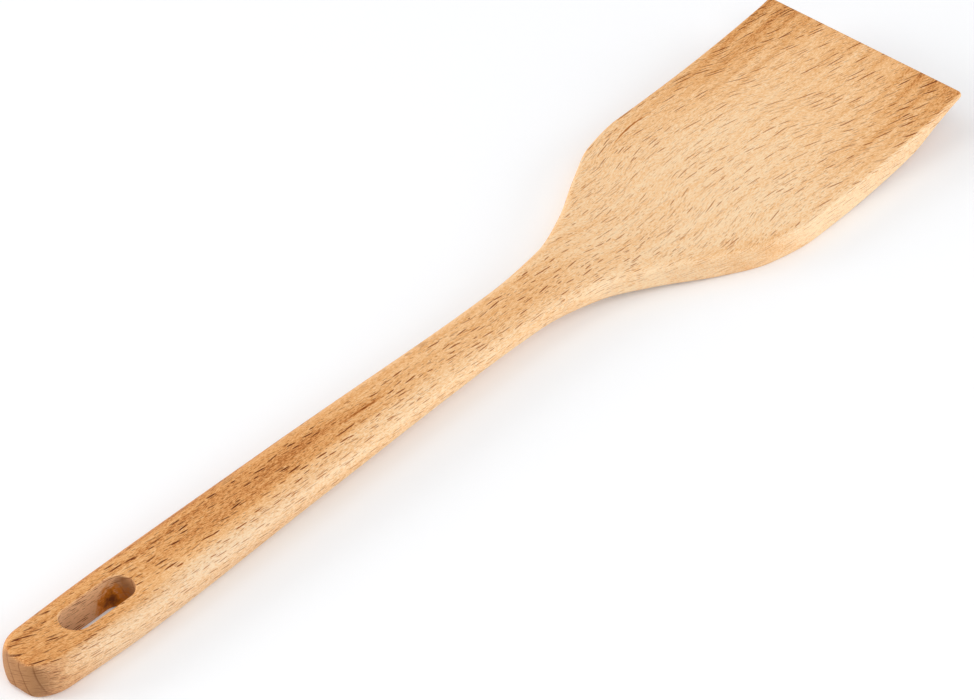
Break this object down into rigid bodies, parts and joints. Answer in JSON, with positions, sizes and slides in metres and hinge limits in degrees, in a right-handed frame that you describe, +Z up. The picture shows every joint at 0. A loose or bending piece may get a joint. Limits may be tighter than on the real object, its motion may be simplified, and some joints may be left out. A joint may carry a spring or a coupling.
{
  "type": "spatula",
  "caption": "One-piece wooden turner: rounded handle with a hanging slot, waisted neck, and a flat blade that curls up and thins to a straight tip.",
  "frame": {"origin": "on the table plane, under the middle of the spatula's length and width", "axes": "+X along the length, from the handle's end to the blade's tip; +Z up, as the spatula lies on a table"},
  "size_m": [0.33, 0.0684, 0.0129],
  "materials": {
    "beech": "sanded, matt"
  },
  "bodies": {
    "root": {"spatula_body": "beech"}
  },
  "joints": []
}
